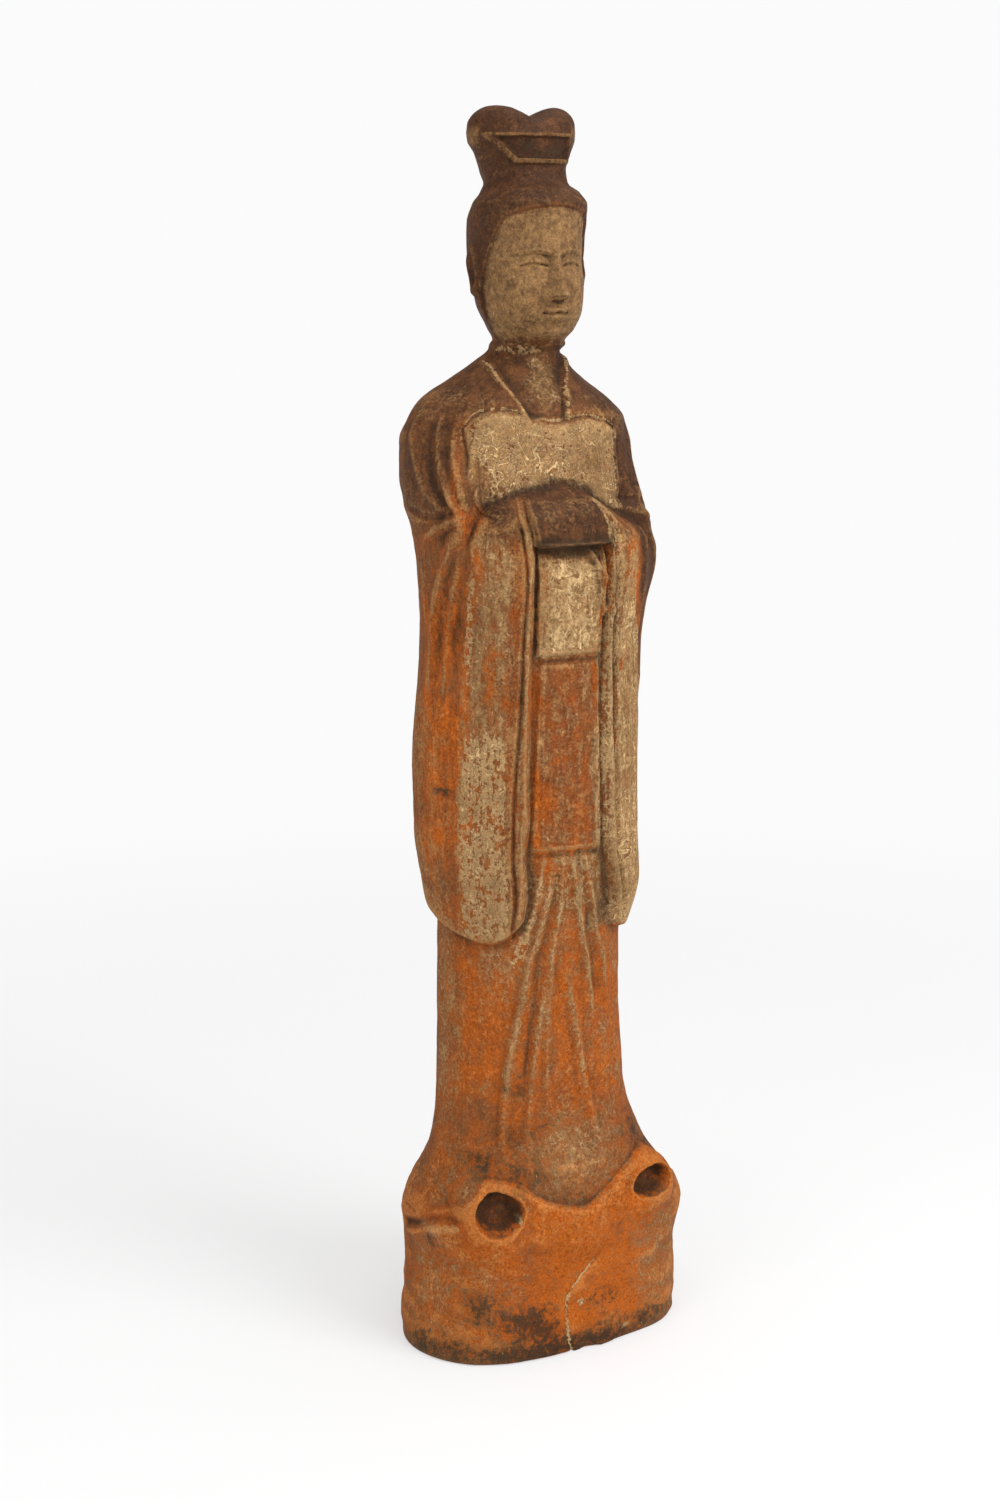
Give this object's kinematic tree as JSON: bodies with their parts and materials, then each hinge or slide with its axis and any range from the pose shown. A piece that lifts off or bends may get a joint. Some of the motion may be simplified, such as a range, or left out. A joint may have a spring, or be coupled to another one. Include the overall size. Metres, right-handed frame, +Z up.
{
  "type": "pottery official figure",
  "caption": "Tall moulded pottery figure of a standing robed official: joined hands under long hanging sleeves, hair drawn up into a lobed hat, flared hem over a low oval base with worn toe hollows",
  "frame": {"origin": "centre of the footprint's bounding box, on the floor that the base stands on", "axes": "+Z up; the figure faces -Y; its right hand is towards -X"},
  "size_m": [0.201, 0.1346, 0.8039],
  "materials": {
    "fired_clay": "matt, porous fired clay with worn slip and burial soil"
  },
  "bodies": {
    "root": {"official_figure": "fired_clay"}
  },
  "joints": []
}
